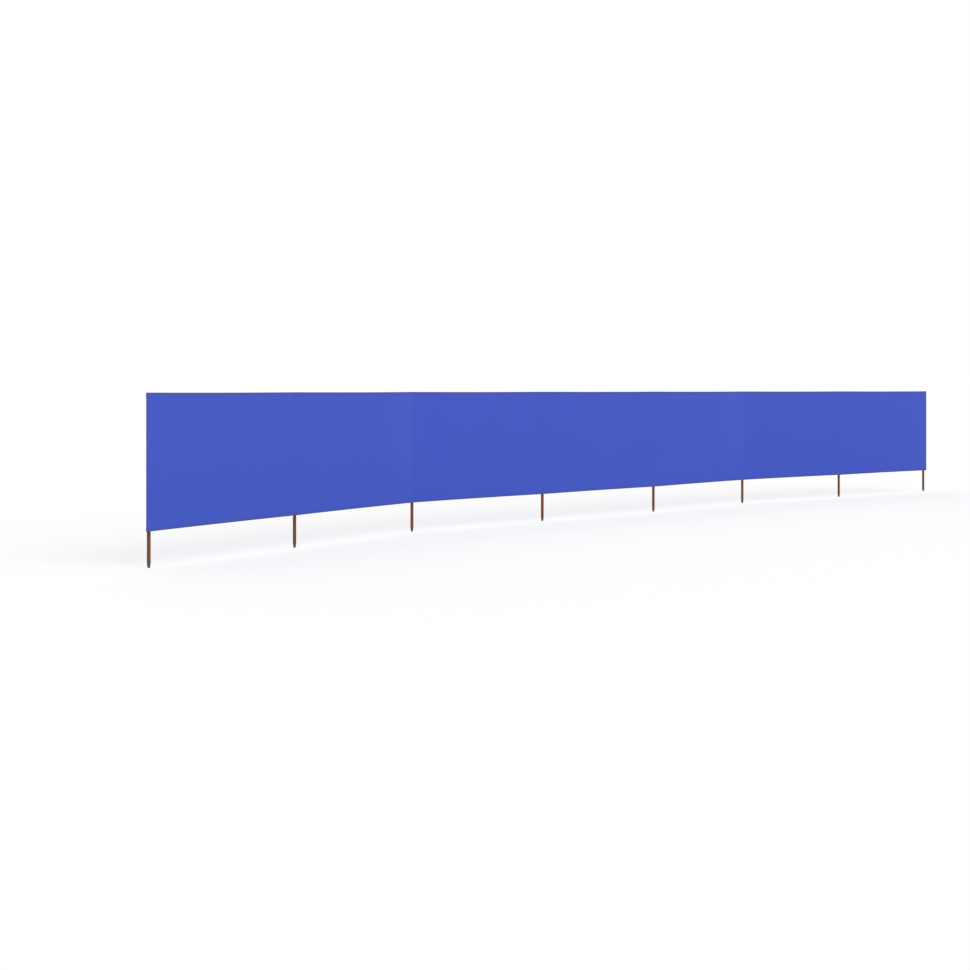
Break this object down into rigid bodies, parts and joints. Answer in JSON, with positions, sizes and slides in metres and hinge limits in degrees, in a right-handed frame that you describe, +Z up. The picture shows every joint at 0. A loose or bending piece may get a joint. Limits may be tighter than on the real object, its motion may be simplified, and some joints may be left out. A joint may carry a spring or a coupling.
{
  "type": "beach windbreak",
  "caption": "Low blue cloth windbreak in straight bays between round wooden poles, each ending in a tapered foot that goes into sand or soft ground.",
  "frame": {"origin": "the flat end of the first pole's foot, on that pole's axis", "axes": "+X along the row from the first pole to the last, -Y towards the side that the picture shows, +Y towards the side with the pole pockets, +Z up the poles"},
  "size_m": [9.3043, 0.5755, 1.011],
  "materials": {
    "cloth_blue": "matt woven polyester, royal blue",
    "pole_wood": "reddish brown stained wood, satin",
    "foot_grey": "matt grey-olive"
  },
  "bodies": {
    "root": {"pole_1": "pole_wood", "pole_2": "pole_wood", "pole_3": "pole_wood", "pole_4": "pole_wood", "pole_5": "pole_wood", "pole_6": "pole_wood", "pole_7": "pole_wood", "pole_8": "pole_wood", "feet": "foot_grey", "pocket_1": "cloth_blue", "pocket_2": "cloth_blue", "pocket_3": "cloth_blue", "pocket_4": "cloth_blue", "pocket_5": "cloth_blue", "pocket_6": "cloth_blue", "pocket_7": "cloth_blue", "pocket_8": "cloth_blue", "panel_1": "cloth_blue", "panel_2": "cloth_blue", "panel_3": "cloth_blue", "panel_4": "cloth_blue", "panel_5": "cloth_blue", "panel_6": "cloth_blue", "panel_7": "cloth_blue"}
  },
  "joints": []
}
